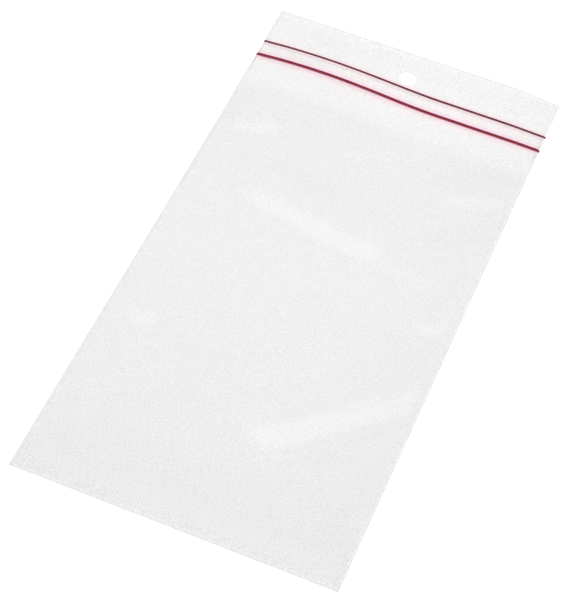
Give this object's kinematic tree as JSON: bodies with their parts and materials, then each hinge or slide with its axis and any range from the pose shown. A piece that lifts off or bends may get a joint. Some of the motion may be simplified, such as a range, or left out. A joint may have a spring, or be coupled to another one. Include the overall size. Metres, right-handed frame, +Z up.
{
  "type": "zipper bag",
  "caption": "Flat clear film bag with side welds, a red press-seal closure, a thin red guide rib and a round hang hole in the lips.",
  "frame": {"origin": "on the ground under the middle of the bag, which lies empty on its back wall", "axes": "+X across the bag along the closure, +Y from the bottom fold to the open lips, +Z up, out of the front wall"},
  "size_m": [0.1, 0.205, 0.003],
  "materials": {
    "clear_film": "clear soft polyethylene film, glossy with a slight haze",
    "closure_red": "crimson tinted polyethylene, soft gloss",
    "guide_red": "dark red tinted polyethylene, soft gloss"
  },
  "bodies": {
    "root": {"bag_film": "clear_film", "closure_channel": "closure_red", "closure_rib": "closure_red", "guide_rib": "guide_red"}
  },
  "joints": []
}
